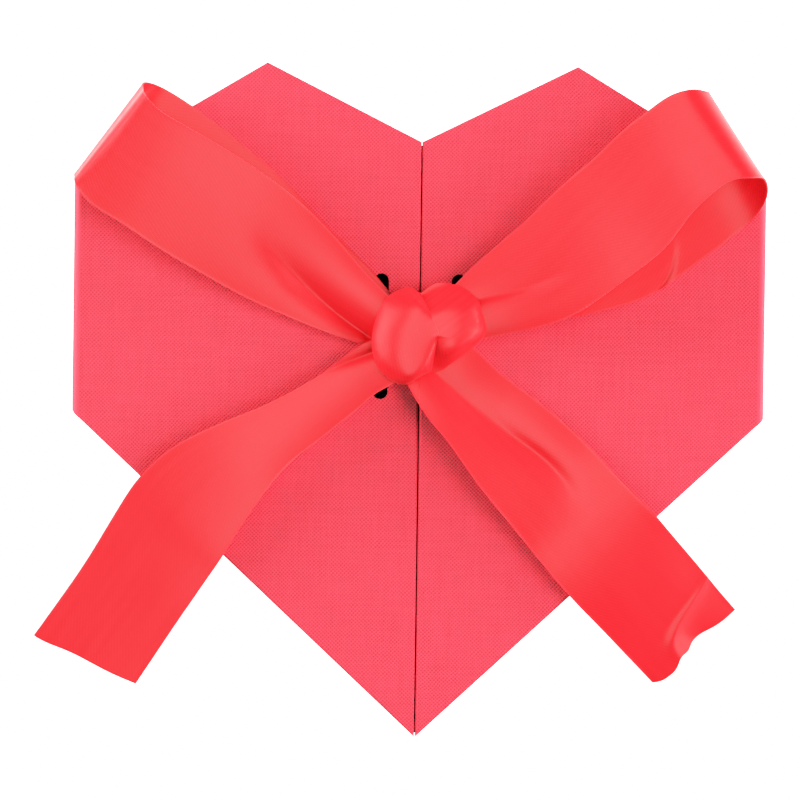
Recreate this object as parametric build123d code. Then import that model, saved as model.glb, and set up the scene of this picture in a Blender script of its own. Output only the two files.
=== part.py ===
from build123d import *
import os
from math import cos, hypot, radians, sin

# Heart outline seen from above, closed, in millimetres
HEART_WIDTH = 250.0  # over the two straight hinge sides
HEART_LENGTH = 243.0  # from the peaks to the point
PEAK_SPREAD = 112.0  # between the two peaks
NOTCH_DEPTH = 28.0  # from the peaks down to the notch
SHOULDER_DROP = 41.5  # from the peaks down to the top of the straight sides
SIDE_LENGTH = 85.0  # each straight hinge side
BOX_HEIGHT = 100.0  # table to the top of the closed doors

# Board and paper
BOARD = 2.0  # rigid board of the walls, floor, spines and doors
PAPER = 0.25  # wrapping and lining paper
RIM_TURN_IN = 4.0  # wrapping paper that shows inside the rim, above the lining

# Doors
DOOR_OVERHANG = 1.0  # door past the tray's wall on the sides without a hinge
DOOR_TURN_IN = 8.0  # wrapping paper that shows under a door, round its lining
RIM_GAP = 0.1  # between the rim and a closed door
SEAM_GAP = 0.4  # between the two doors
EDGE_ROUND = 0.8  # wrapped top edge of a door

# Paper hinges
FOLD_RADIUS = 0.25  # the crease that a door turns on
FOLD_CLEARANCE = 0.05

# Ribbon
RIBBON_WIDTH = 40.0
RIBBON_THICK = 0.4
SOFT_CLEARANCE = 0.3  # between the ribbon's pieces

# Ribbon slots
KNOT_RISE = 23.4  # middle of the knot and the slots above the middle of the heart's length
SLOT_OFFSET = 14.0  # from the seam to the middle of a slot
SLOT_WIDTH = 5.4
SLOT_END_ROOM = 2.7  # slot past each edge of the ribbon

# Ribbon ends behind the slots
TAB_LENGTH = 24.0  # glued under the door
STRAND_WIDTH = 26.0  # gathered to pass through the slot
STRAND_THICK = 1.2

# Knot lobes, placed from the seam and from the middle of the knot
LEFT_LOBE_OFFSET = 7.0
LEFT_LOBE_SHIFT = -0.4
LEFT_LOBE_WIDTH = 22.0
LEFT_LOBE_LENGTH = 34.0
LEFT_LOBE_HEIGHT = 20.0
RIGHT_LOBE_OFFSET = 10.5
RIGHT_LOBE_SHIFT = 4.1
RIGHT_LOBE_WIDTH = 27.0
RIGHT_LOBE_LENGTH = 29.0
RIGHT_LOBE_HEIGHT = 22.0
LOBE_LIFT = 2.0  # gap between the door and the flat under a lobe
LOBE_MIDDLE_SHARE = 0.42  # widest level of a lobe, as a share of its height

# Bow loops: length from the knot, height, sideways shift between the two layers, heading in degrees
LEFT_LOOP_LENGTH = 127.0
LEFT_LOOP_HEIGHT = 18.0
LEFT_LOOP_SWAY = 8.0
LEFT_LOOP_HEADING = 147.3
RIGHT_LOOP_LENGTH = 125.0
RIGHT_LOOP_HEIGHT = 26.0
RIGHT_LOOP_SWAY = 15.0
RIGHT_LOOP_HEADING = 31.8
LOOP_START_SHIFT = 4.6  # from the middle of the knot
LOOP_START_OFFSET = 6.0  # from the seam

# Each row is a place round a loop: shares of its length, half sway, ribbon width, height and ribbon width
LOOP_SHARES = (
    (0.00, 0.00, 0.20, 0.30, 0.00),
    (0.20, -0.30, 0.34, 0.22, 0.05),
    (0.45, -0.80, 0.48, 0.12, 0.02),
    (0.75, -1.00, 0.50, 0.10, 0.00),
    (0.92, -0.90, 0.50, 0.15, 0.00),
    (0.98, -0.50, 0.50, 0.31, 0.00),
    (1.00, 0.00, 0.50, 0.54, 0.00),
    (0.98, 0.50, 0.50, 0.77, 0.00),
    (0.92, 0.90, 0.50, 0.93, 0.00),
    (0.75, 1.00, 0.50, 1.00, 0.01),
    (0.45, 0.80, 0.48, 0.94, 0.05),
    (0.20, 0.40, 0.34, 0.80, 0.09),
    (0.00, 0.10, 0.20, 0.66, 0.06),
)
LOOP_JOINS = (4, 6, 8)  # rows where the fold at the end of a loop starts, turns over and stops

# Bow tails: start from the seam and from the middle of the knot, heading in degrees, lift over the door,
# length and drop past its edge
LEFT_TAIL_OFFSET = 6.0
LEFT_TAIL_SHIFT = -7.4
LEFT_TAIL_HEADING = 224.4
LEFT_TAIL_LIFT = 7.0
LEFT_TAIL_OVERHANG = 64.0
LEFT_TAIL_DROP = 16.0
RIGHT_TAIL_OFFSET = 8.0
RIGHT_TAIL_SHIFT = -9.4
RIGHT_TAIL_HEADING = -47.5
RIGHT_TAIL_LIFT = 7.0
RIGHT_TAIL_OVERHANG = 46.5
RIGHT_TAIL_DROP = 12.0

# Each row is a place along a tail: share of the way to the door's edge, or 1 and a share of the overhang,
# then shares of the ribbon width aside and to each edge, of the lift or the drop, and of the width as a crest
LEFT_TAIL_SHARES = (
    (0.00, -0.12, 0.22, 0.45, 0.00),
    (0.22, -0.18, 0.25, 0.60, 0.08),
    (0.45, -0.25, 0.28, 1.00, 0.10),
    (0.65, -0.34, 0.35, 0.90, 0.07),
    (0.85, -0.36, 0.45, 0.55, 0.03),
    (1.06, -0.32, 0.50, 0.28, 0.00),
    (1.40, -0.22, 0.50, -0.16, 0.00),
    (1.70, -0.11, 0.50, -0.50, 0.00),
    (2.00, 0.00, 0.50, -1.00, 0.00),
)
RIGHT_TAIL_SHARES = (
    (-0.06, 0.10, 0.18, 0.80, -0.03),
    (0.06, 0.02, 0.26, 0.82, -0.05),
    (0.22, -0.05, 0.38, 0.85, -0.09),
    (0.43, -0.04, 0.48, 0.75, -0.05),
    (0.65, -0.04, 0.50, 0.60, 0.00),
    (0.86, -0.02, 0.50, 0.42, 0.00),
    (1.06, 0.00, 0.50, 0.24, 0.00),
    (1.40, 0.00, 0.50, -0.15, 0.00),
    (1.70, 0.00, 0.50, -0.50, 0.00),
    (2.00, 0.00, 0.50, -1.00, 0.00),
)

# Cuts run past the surface by this much
OVERRUN = 1.0

# Levels above the table
DOOR_TOP = BOX_HEIGHT
DOOR_LOW = DOOR_TOP - BOARD - 2 * PAPER
RIM_TOP = DOOR_LOW - RIM_GAP
WALL_TOP = RIM_TOP - PAPER
FLOOR_TOP = PAPER + BOARD
LINING_TOP = RIM_TOP - RIM_TURN_IN
AXIS_Z = DOOR_LOW + FOLD_RADIUS - FOLD_CLEARANCE
SPINE_TOP = AXIS_Z - 2 * FOLD_RADIUS
STRIP_LOW = AXIS_Z + FOLD_RADIUS + FOLD_CLEARANCE

# Distances from the seam plane
AXIS_X = HEART_WIDTH / 2 - FOLD_RADIUS
SPINE_FACE = AXIS_X - FOLD_CLEARANCE
SPINE_INNER = SPINE_FACE - BOARD - PAPER
STRIP_FACE = SPINE_FACE - FOLD_CLEARANCE

# Places along the heart's length
SHOULDER_Y = HEART_LENGTH / 2 - SHOULDER_DROP
HIP_Y = SHOULDER_Y - SIDE_LENGTH

# The right half of the outline, counter-clockwise
POINT = (0, -HEART_LENGTH / 2)
HIP = (HEART_WIDTH / 2, HIP_Y)
SHOULDER = (HEART_WIDTH / 2, SHOULDER_Y)
PEAK = (PEAK_SPREAD / 2, HEART_LENGTH / 2)
NOTCH = (0, HEART_LENGTH / 2 - NOTCH_DEPTH)
HALF_HEART = [POINT, HIP, SHOULDER, PEAK, NOTCH]
WHOLE_HEART = HALF_HEART + [(-x, y) for x, y in (PEAK, SHOULDER, HIP)]
WALL_NAMES = (
    "lower_right",
    "right",
    "upper_right_outer",
    "upper_right_inner",
    "upper_left_inner",
    "upper_left_outer",
    "left",
    "lower_left",
)


# Outlines
def moved_side(start, end, depth):
    """A side of an outline moved inward, as a point on it and its direction."""
    along = (end[0] - start[0], end[1] - start[1])
    length = hypot(*along)
    direction = (along[0] / length, along[1] / length)
    return (start[0] - direction[1] * depth, start[1] + direction[0] * depth), direction


def crossing(first, second):
    """Where two sides cross."""
    (a, u), (b, v) = first, second
    reach = ((b[0] - a[0]) * v[1] - (b[1] - a[1]) * v[0]) / (u[0] * v[1] - u[1] * v[0])
    return a[0] + u[0] * reach, a[1] + u[1] * reach


def inset(points, depths):
    """A counter-clockwise outline with each side moved inward by its own depth."""
    ends = points[1:] + points[:1]
    sides = [moved_side(start, end, depth) for start, end, depth in zip(points, ends, depths)]
    return [crossing(sides[i - 1], sides[i]) for i in range(len(points))]


def even_inset(points, depth):
    return inset(points, [depth] * len(points))


def prism(points, low, high):
    """An upright solid over an outline."""
    outline = make_face(Polyline(*points, close=True))
    return Pos(0, 0, low) * extrude(outline, high - low, dir=(0, 0, 1))


# Tray
hinge_depth = HEART_WIDTH / 2 - SPINE_INNER
tray_depths = [hinge_depth if name in ("left", "right") else DOOR_OVERHANG for name in WALL_NAMES]
tray_outline = inset(WHOLE_HEART, tray_depths)
wall_outer = even_inset(tray_outline, PAPER)
wall_inner = even_inset(wall_outer, BOARD)
lining_inner = even_inset(wall_inner, PAPER)


def wall_board(index):
    """One wall, mitred to its neighbours."""
    follow = (index + 1) % len(WALL_NAMES)
    corners = [wall_outer[index], wall_outer[follow], wall_inner[follow], wall_inner[index]]
    return prism(corners, PAPER, WALL_TOP)


def tray_wrap():
    """Paper over the outside of the walls, over the rim and a little way down inside."""
    skin = prism(tray_outline, PAPER, RIM_TOP) - prism(wall_outer, -OVERRUN, WALL_TOP)
    turn_in = prism(wall_inner, LINING_TOP, WALL_TOP)
    return skin + turn_in - prism(lining_inner, -OVERRUN, RIM_TOP + OVERRUN)


def wall_lining():
    low = FLOOR_TOP + PAPER
    return prism(wall_inner, low, LINING_TOP) - prism(lining_inner, low - OVERRUN, LINING_TOP + OVERRUN)


# Spines and hinges, right side
def side_bar(inner, outer, low, high, end_room):
    """A straight bar along the right hinge side."""
    start, end = HIP_Y + end_room, SHOULDER_Y - end_room
    return prism([(inner, start), (outer, start), (outer, end), (inner, end)], low, high)


def spine_board():
    return side_bar(SPINE_INNER, SPINE_FACE - PAPER, 0, SPINE_TOP - PAPER, PAPER)


def spine_wrap():
    return side_bar(SPINE_INNER, SPINE_FACE, PAPER, SPINE_TOP, 0) - spine_board()


def hinge_fold():
    along_side = Plane(origin=(AXIS_X, HIP_Y, AXIS_Z), x_dir=(1, 0, 0), z_dir=(0, 1, 0))
    return extrude(along_side * Circle(FOLD_RADIUS), SIDE_LENGTH)


def hinge_strip():
    """Paper that runs from the door's top face and rolls down to the fold, cut off along the heart's outline."""
    roll = DOOR_TOP - STRIP_LOW
    turn = STRIP_FACE - roll
    slant = sin(radians(45))
    outer_bend = (turn + roll * slant, STRIP_LOW + roll * slant)
    inner_bend = (turn + (roll - PAPER) * slant, STRIP_LOW + (roll - PAPER) * slant)
    corners = [
        (SPINE_INNER, DOOR_TOP),
        (turn, DOOR_TOP),
        (STRIP_FACE, STRIP_LOW),
        (STRIP_FACE - PAPER, STRIP_LOW),
        (turn, DOOR_TOP - PAPER),
        (SPINE_INNER, DOOR_TOP - PAPER),
    ]
    outline = [
        Line(corners[0], corners[1]),
        ThreePointArc(corners[1], outer_bend, corners[2]),
        Line(corners[2], corners[3]),
        ThreePointArc(corners[3], inner_bend, corners[4]),
        Line(corners[4], corners[5]),
        Line(corners[5], corners[0]),
    ]
    across = Plane(origin=(0, -HEART_LENGTH / 2, 0), x_dir=(1, 0, 0), z_dir=(0, -1, 0))
    whole = extrude(across * make_face(outline), HEART_LENGTH, dir=(0, 1, 0))
    return whole & prism(HALF_HEART, STRIP_LOW - OVERRUN, DOOR_TOP + OVERRUN)


# Doors, right side
door_outline = inset(HALF_HEART, [0, hinge_depth, 0, 0, SEAM_GAP / 2])


def rounded_top(panel, radius):
    """A right panel with its top edges rounded, apart from the one along the hinge."""
    top_edges = panel.edges().group_by(Axis.Z)[-1]
    return fillet(top_edges.sort_by(Axis.X)[:-1], radius)


def slot_cut():
    outline = Pos(SLOT_OFFSET, KNOT_RISE, DOOR_LOW - OVERRUN) * SlotOverall(
        RIBBON_WIDTH + 2 * SLOT_END_ROOM, SLOT_WIDTH, rotation=90
    )
    return extrude(outline, DOOR_TOP - DOOR_LOW + 2 * OVERRUN, dir=(0, 0, 1))


def whole_door_board():
    panel = prism(even_inset(door_outline, PAPER), DOOR_LOW + PAPER, DOOR_TOP - PAPER)
    return rounded_top(panel, EDGE_ROUND - PAPER)


def door_lining():
    return prism(even_inset(door_outline, DOOR_TURN_IN), DOOR_LOW, DOOR_LOW + PAPER)


def door_wrap():
    """Paper over the top and edges of a door, turned in below."""
    panel = rounded_top(prism(door_outline, DOOR_LOW, DOOR_TOP), EDGE_ROUND)
    return panel - whole_door_board() - door_lining() - slot_cut()


# Ribbon
def ribbon_anchor():
    """The ribbon's inner end: a tab glued under the right door and a strand that rises through the slot."""
    low = DOOR_LOW - RIBBON_THICK
    high = DOOR_TOP + LOBE_LIFT - SOFT_CLEARANCE
    start, end = KNOT_RISE - STRAND_WIDTH / 2, KNOT_RISE + STRAND_WIDTH / 2
    inner, outer = SLOT_OFFSET - STRAND_THICK / 2, SLOT_OFFSET + STRAND_THICK / 2
    tab_end = inner + TAB_LENGTH
    strand = prism([(inner, start), (outer, start), (outer, end), (inner, end)], low, high)
    return strand + prism([(inner, start), (tab_end, start), (tab_end, end), (inner, end)], low, DOOR_LOW)


def lobe_egg(offset, rise, width, length, height, room=0):
    """The egg that a knot lobe is cut from, with room all round where it cuts other pieces."""
    half_height = height * (1 - LOBE_MIDDLE_SHARE)
    sizes = (width / 2 + room, length / 2 + room, half_height + room)
    return Pos(offset, rise, DOOR_TOP + LOBE_LIFT + height * LOBE_MIDDLE_SHARE) * scale(Sphere(1), by=sizes)


def knot_lobe(offset, *sizes):
    """Half of the tied knot, flat below and cut off at the seam."""
    side = 1 if offset > 0 else -1
    span = HEART_WIDTH / 2
    room = Pos(side * (SEAM_GAP / 2 + span / 2), 0, DOOR_TOP + LOBE_LIFT + span / 2) * Box(span, span, span)
    return lobe_egg(offset, *sizes) & room


def band(start, heading, rows, joins=()):
    """A thin band through rows of length along, shift aside, half width, height over the door and crest.

    It is lofted in stretches that meet at the joins, so that no stretch turns back on itself.
    """
    along = Vector(cos(radians(heading)), sin(radians(heading)), 0)
    aside = Vector(-sin(radians(heading)), cos(radians(heading)), 0)
    origin = Vector(start[0], start[1], DOOR_TOP)
    middles = [origin + along * row[0] + aside * row[1] + Vector(0, 0, row[3]) for row in rows]
    sections = []
    for index, (_, _, half, _, crest) in enumerate(rows):
        run = middles[min(index + 1, len(rows) - 1)] - middles[max(index - 1, 0)]
        normal = run.cross(aside).normalized()
        edge, skin = aside * half, normal * (RIBBON_THICK / 2)
        ridge = middles[index] + normal * crest
        line = [middles[index] - edge, ridge, middles[index] + edge]
        outline = [place - skin for place in line] + [place + skin for place in reversed(line)]
        sections.append(make_face(Polyline(*outline, close=True)))
    ends = [0, *joins, len(rows) - 1]
    stretches = [loft(sections[first : last + 1]) for first, last in zip(ends, ends[1:])]
    return Part() + stretches


def bow_loop(side, length, height, sway, heading):
    rows = [
        (along * length, shift * sway / 2, half * RIBBON_WIDTH, level * height, crest * RIBBON_WIDTH)
        for along, shift, half, level, crest in LOOP_SHARES
    ]
    return band((side * LOOP_START_OFFSET, KNOT_RISE + LOOP_START_SHIFT), heading, rows, LOOP_JOINS)


def bow_tail(start, heading, edge, lift, overhang, drop, shares):
    """A tail that lies on a door, crosses its slanted edge and hangs past it."""
    direction = (cos(radians(heading)), sin(radians(heading)))
    end = crossing((start, direction), moved_side(*edge, 0))
    reach = hypot(end[0] - start[0], end[1] - start[1])
    rows = [
        (
            along * reach if along < 1 else reach + (along - 1) * overhang,
            shift * RIBBON_WIDTH,
            half * RIBBON_WIDTH,
            level * (lift if level > 0 else drop),
            crest * RIBBON_WIDTH,
        )
        for along, shift, half, level, crest in shares
    ]
    return band(start, heading, rows)


left_lobe_sizes = (
    -LEFT_LOBE_OFFSET,
    KNOT_RISE + LEFT_LOBE_SHIFT,
    LEFT_LOBE_WIDTH,
    LEFT_LOBE_LENGTH,
    LEFT_LOBE_HEIGHT,
)
right_lobe_sizes = (
    RIGHT_LOBE_OFFSET,
    KNOT_RISE + RIGHT_LOBE_SHIFT,
    RIGHT_LOBE_WIDTH,
    RIGHT_LOBE_LENGTH,
    RIGHT_LOBE_HEIGHT,
)
left_loop = bow_loop(-1, LEFT_LOOP_LENGTH, LEFT_LOOP_HEIGHT, LEFT_LOOP_SWAY, LEFT_LOOP_HEADING)
right_loop = bow_loop(1, RIGHT_LOOP_LENGTH, RIGHT_LOOP_HEIGHT, RIGHT_LOOP_SWAY, RIGHT_LOOP_HEADING)
left_tail = bow_tail(
    (-LEFT_TAIL_OFFSET, KNOT_RISE + LEFT_TAIL_SHIFT),
    LEFT_TAIL_HEADING,
    [(-HIP[0], HIP[1]), POINT],
    LEFT_TAIL_LIFT,
    LEFT_TAIL_OVERHANG,
    LEFT_TAIL_DROP,
    LEFT_TAIL_SHARES,
)
right_tail = bow_tail(
    (RIGHT_TAIL_OFFSET, KNOT_RISE + RIGHT_TAIL_SHIFT),
    RIGHT_TAIL_HEADING,
    [POINT, HIP],
    RIGHT_TAIL_LIFT,
    RIGHT_TAIL_OVERHANG,
    RIGHT_TAIL_DROP,
    RIGHT_TAIL_SHARES,
)

# Pieces
pieces = {
    "base_sheet": prism(tray_outline, 0, PAPER),
    "floor_board": prism(wall_inner, PAPER, FLOOR_TOP),
    "tray_wrap": tray_wrap(),
    "wall_lining": wall_lining(),
    "floor_lining": prism(wall_inner, FLOOR_TOP, FLOOR_TOP + PAPER),
}
for number, name in enumerate(WALL_NAMES):
    pieces[f"wall_{name}"] = wall_board(number)

paired = {
    "spine_board": spine_board(),
    "spine_wrap": spine_wrap(),
    "hinge_fold": hinge_fold(),
    "hinge_strip": hinge_strip(),
    "door_board": whole_door_board() - slot_cut(),
    "door_wrap": door_wrap(),
    "door_lining": door_lining() - slot_cut(),
    "ribbon_anchor": ribbon_anchor(),
}
for name, piece in paired.items():
    pieces[f"right_{name}"] = piece
    pieces[f"left_{name}"] = mirror(piece, about=Plane.YZ)

for side, sizes, loop, tail in (
    ("left", left_lobe_sizes, left_loop, left_tail),
    ("right", right_lobe_sizes, right_loop, right_tail),
):
    hollow = lobe_egg(*sizes, room=SOFT_CLEARANCE)
    pieces[f"{side}_knot_lobe"] = knot_lobe(*sizes)
    pieces[f"{side}_loop"] = loop - hollow
    pieces[f"{side}_tail"] = tail - hollow

os.makedirs("parts", exist_ok=True)
for name, piece in pieces.items():
    export_step(piece, f"parts/{name}.step")
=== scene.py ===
import math

import bmesh
import bpy
import numpy as np
from bpy.props import FloatProperty, FloatVectorProperty, PointerProperty
from mathutils import Matrix, Vector


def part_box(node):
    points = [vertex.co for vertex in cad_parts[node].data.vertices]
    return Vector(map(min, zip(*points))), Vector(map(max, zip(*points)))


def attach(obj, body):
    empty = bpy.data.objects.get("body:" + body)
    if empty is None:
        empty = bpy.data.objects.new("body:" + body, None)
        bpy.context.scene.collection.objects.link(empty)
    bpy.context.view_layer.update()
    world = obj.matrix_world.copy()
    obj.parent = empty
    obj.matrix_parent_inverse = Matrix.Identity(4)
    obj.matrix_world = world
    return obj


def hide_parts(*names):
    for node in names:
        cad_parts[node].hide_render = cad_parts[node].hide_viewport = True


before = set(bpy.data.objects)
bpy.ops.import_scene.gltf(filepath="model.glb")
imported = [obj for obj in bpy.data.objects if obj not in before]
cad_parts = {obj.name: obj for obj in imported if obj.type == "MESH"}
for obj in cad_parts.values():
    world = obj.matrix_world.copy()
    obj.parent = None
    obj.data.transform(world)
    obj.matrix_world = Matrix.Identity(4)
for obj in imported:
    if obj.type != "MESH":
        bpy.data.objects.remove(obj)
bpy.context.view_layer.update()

bl_info = {
    "name": "Valentine heart box",
    "version": (1, 0, 0),
    "blender": (4, 5, 0),
    "location": "3D View > Sidebar > Heart box",
    "description": "Dresses a heart-shaped gift box with linen paper, a tied satin bow and a studio stage",
    "category": "Object",
}

MM = 0.001
DOOR_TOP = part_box("left_door_wrap")[1].z / MM

# The camera: its place in metres, its turns about x, y and z in degrees, and its lens and sensor in mm.
CAMERA_PLACE = (-0.02224, 0.01211, 1.0)
CAMERA_TURNS = (-0.741, -0.983, 0.740)
CAMERA_LENS = 112.27
CAMERA_SENSOR = 36

# Rows of a ribbon's edges are in mm: along its heading and aside to its left, at the place on the level of
# the doors where the camera sees the edge, and the edge's height over the doors. Each edge starts in the
# knot. A loop's edge goes out in the layer below, turns at the row numbered "turn", and comes back in the
# layer above. On a tail that row only marks half way.
# A crease row is: along, aside, depth (+ is a ridge), reach right, reach left. Creases lie in the top layer,
# and those named "under" in the layer below. A crest row is a share of the way along, and the rise in the
# middle of the ribbon. An end row is a place aside, and how far the cut end reaches past an even cut there.
LEFT_LOOP = {
    "origin": (-6.0, 28.0), "heading": 147.3, "turn": 9,
    "right": (
        (6, -5.2, 1.6), (18.1, -9.2, 1.2), (34.1, -12.6, 0.9), (54.1, -17, 0.7), (66.1, -19.7, 0.7),
        (83.2, -21.7, 0.7), (99.2, -23.1, 0.8), (114.4, -23.4, 1.6), (122.2, -22.5, 3.4),
        (125.7, -20.6, 8.5), (124.6, -18.9, 13.5), (122.9, -17.6, 19.4), (120.1, -16.6, 19.8),
        (107.2, -16, 19.9), (90.1, -17.1, 19.1), (70.4, -17.3, 17.4), (51.4, -15.5, 14.7),
        (36.3, -12.2, 11.6), (22.7, -8.2, 9.1), (10.7, -5.5, 8.1), (4, -4.1, 7.8),
    ),
    "left": (
        (6, 8.9, 0.5), (18.1, 12, 0.5), (34.1, 15, 0.8), (54.1, 17.5, 2), (66.1, 18, 2.6), (83.1, 18, 3),
        (99.1, 18, 3), (116.3, 18, 3), (125.6, 18.8, 3.8), (128.2, 20, 6.8), (127.6, 21.2, 10.6),
        (126.7, 22.5, 13.8), (123.7, 24.2, 14.1), (106.2, 25.7, 13.5), (91.3, 25.8, 12.2),
        (70, 24.8, 9.7), (53.4, 23.5, 7.9), (35.5, 20.6, 6.6), (22.2, 17.9, 5.9), (10.4, 14.9, 5.4),
        (4, 13.3, 5.2),
    ),
    "creases": (
        ((4, 10.6, -4.2, 6.5, 3), (19, 10.4, -4.4, 7.5, 3), (29.4, 9.4, -4.2, 9, 3.4),
         (40.3, 7.4, -3.4, 11, 4.4), (51.6, 4.6, -2, 12, 6), (62, 1.6, -.6, 12, 9), (76, -1, 0, 9, 9)),
    ),
    "crest": ((0, 0), (.5, 0), (.6, .3), (.8, 1.2), (1, 2.2)),
}
RIGHT_LOOP = {
    "origin": (6.0, 28.0), "heading": 31.8, "turn": 9,
    "right": (
        (6.2, -9, 4), (18.2, -14.1, 3.4), (36.2, -20.6, 2.6), (57.9, -28, 1.8), (73.4, -31, 1.3),
        (85.4, -30.4, 1.2), (99.2, -29.1, 1.5), (112.4, -27.4, 2.8), (121.9, -25, 6.5),
        (127.6, -20.1, 13.5), (128.6, -16.3, 20), (125.3, -13.7, 27.6), (119.5, -10.9, 28),
        (109.8, -10.9, 28), (98.4, -13.7, 27), (86.9, -18.4, 25.3), (71.8, -20.9, 23),
        (57.4, -22.3, 20.6), (41.7, -22.5, 16.1), (25.1, -17.9, 10.5), (13.2, -13.7, 7.8),
        (5.3, -11.3, 7),
    ),
    "left": (
        (6.2, 4, 5), (18.2, 6, 4), (36.2, 8, 3), (58, 9.5, 3.4), (73.7, 10.5, 4.2), (85.9, 12.1, 5.2),
        (98.8, 14.1, 6), (113.1, 17.1, 6.8), (122.1, 18.7, 7.4), (127, 20.3, 10.5), (126.6, 21.8, 15.9),
        (123.3, 24.6, 19.6), (115.2, 27.1, 19.8), (105.7, 26.6, 19.3), (94.4, 25.3, 18.2),
        (78, 21.7, 16.2), (67.4, 20, 15), (56.2, 17.6, 13.5), (45, 15, 11.8), (34.3, 13.2, 10.2),
        (17.6, 9.8, 7.8), (5.4, 6.6, 6.7),
    ),
    "creases": (
        ((5, 3.4, -2, 3, 4), (17.8, -.3, -2, 2, 6), (28.3, -3.7, -1.8, 2.2, 7), (36.6, -5.8, -1.4, 2.6, 8),
         (43.7, -6.8, -.9, 3.4, 9), (51.5, -8.1, -.4, 5, 9), (64, -10, 0, 6, 9)),
    ),
    "under": (
        ((66, -34, 0, 2, 2), (73.7, -30.8, -.7, 1.2, 2.4), (80.8, -27.9, -.7, 1.2, 2.4),
         (85.2, -23.7, -.5, 1.2, 2.4), (90, -18, 0, 1.2, 2.4)),
    ),
    "crest": ((0, 0), (.5, 0), (.62, .2), (.8, .8), (1, 2.4)),
}
LEFT_TAIL = {
    "origin": (-6.0, 16.0), "heading": 224.4, "turn": 10,
    "right": (
        (-1.1, -9.6, 6.4), (3.9, -12.2, 6.8), (9.4, -13.9, 7.2), (15.7, -14.7, 7.6), (23.3, -15.4, 8),
        (31.2, -17, 8.5), (47.8, -21.7, 9.4), (62.3, -27.4, 9.5), (75.5, -32, 8.7), (85.7, -34.2, 7.6),
        (98.1, -34.2, 5.9), (106.7, -32.7, 4.5), (119.2, -29.4, 2.5), (134.8, -25.3, -0.1),
        (149.4, -22.3, -2.4), (165.3, -19.3, -4.9),
    ),
    "left": (
        (-1.1, 6.1, 6.4), (3.9, 5.1, 6.8), (10.2, 4.2, 7.2), (15.9, 2.8, 7.6), (22.6, 2.4, 8),
        (31.2, 1.7, 8.5), (42.1, 0.8, 9.1), (55.7, -0.5, 9.4), (68.3, 0.7, 9.2), (82.4, 3.5, 7.9),
        (96.5, 7.1, 6.2), (103.4, 8.6, 5), (113.6, 10.7, 3.4), (124.3, 12.9, 1.7), (139.3, 16.2, -0.8),
        (151.2, 18.8, -2.7),
    ),
    "creases": (
        ((-1, -6, -1.6, 2, 2.4), (7.2, -8.8, -1.6, 2, 2.4), (13.9, -11.7, -1.2, 1.6, 2.4),
         (19.9, -13.9, -.5, 1, 2), (26, -16, 0, 1, 2)),
    ),
    "crest": ((0, .6), (.25, 1), (.5, .7), (.7, .2), (1, .2)),
    "end": ((-22, -.4), (-17, .5), (-8, 0), (10, .3), (19, -.2)),
}
RIGHT_TAIL = {
    "origin": (8.0, 14.0), "heading": -47.5, "turn": 9,
    "right": (
        (-5.9, -13.5, 6.6), (-1.8, -14.4, 7), (2.5, -15.4, 7.4), (10.5, -16.7, 8), (22.5, -17.2, 8.8),
        (37.2, -18.9, 9.2), (51.1, -19.9, 8.6), (64.4, -20.4, 6.6), (71.4, -20.8, 5.6),
        (78.1, -21.1, 5.4), (86.2, -21.4, 5.4), (93.1, -21.5, 4.8), (99.9, -21.4, 3.5),
        (103.8, -21.2, 2.4), (116.2, -20.7, -1.7), (128.7, -20.3, -6), (137.3, -20, -9.1),
    ),
    "left": (
        (-10.9, 8.5, 5.6), (4.5, 12.4, 4.6), (13.7, 13, 3.6), (24.4, 14.9, 3.2), (34.8, 17, 3.2),
        (45.9, 18.6, 3.4), (57.7, 19.6, 3.9), (70.1, 20, 4.7), (76.3, 20.2, 4.9), (82.5, 20.5, 5),
        (88.3, 20.9, 4.8), (93.4, 21.1, 4.2), (98, 21, 3.2), (105.4, 20.8, 1.2), (117.6, 20.5, -2.6),
        (128.9, 20.1, -6.6), (137.4, 20, -9.5),
    ),
    "creases": (
        ((-6, -5, -2.6, 3.2, 8), (1.1, -4.2, -2.6, 3.4, 8), (14.8, -2.8, -2.8, 4, 7), (24, -1.4, -3, 6, 6.4),
         (31.4, 0, -3.2, 9, 5.4), (43.8, 3, -3.4, 13, 3.6), (53.3, 4.6, -3, 15, 3.6),
         (61.2, 4.4, -2.1, 14, 5), (70, 3, -.7, 12, 8), (79, 2, 0, 12, 12)),
        ((116, 24, 0, 5, 4), (123.7, 16.6, .8, 5, 4), (126.8, 5.8, 1.3, 5, 4), (132.3, -4.9, 1.5, 4, 3.4),
         (137.9, -6.4, 1.5, 3.4, 3), (143, -7, 1.5, 3, 3)),
    ),
    "crest": ((0, 0), (.3, 0), (.6, .1), (.7, .6), (1, .3)),
    "end": (
        (-20, -.3), (-17.8, 1.2), (-13.9, 2.1), (-9.3, 1.5), (-6, -.2), (-1.9, -.4), (-.6, -1.1),
        (10.5, -.5), (20.5, 0),
    ),
}
CREASE_ROUNDING = 0.35  # of the shorter reach
EDGE_CROWDING = 0.6  # how far the grid's lines are drawn towards the ribbon's edges
TOP_STARTS = 0.56  # share of a loop's way where the creases of its top layer begin
TOP_FADE = 0.06  # share of the way over which they come in
END_RUN = 0.1  # share of a tail's way that bends to the cut end
BEAD_WIDTH = 0.5  # of the selvedge, in mm
SEAM_CLEARANCE = 0.015  # from the seam to a cut, in mm
SHARP_EDGE, WELDED_SHARP_EDGE = 40, 60  # angles in degrees
MERGE_DISTANCE = 1e-7  # in metres

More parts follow.
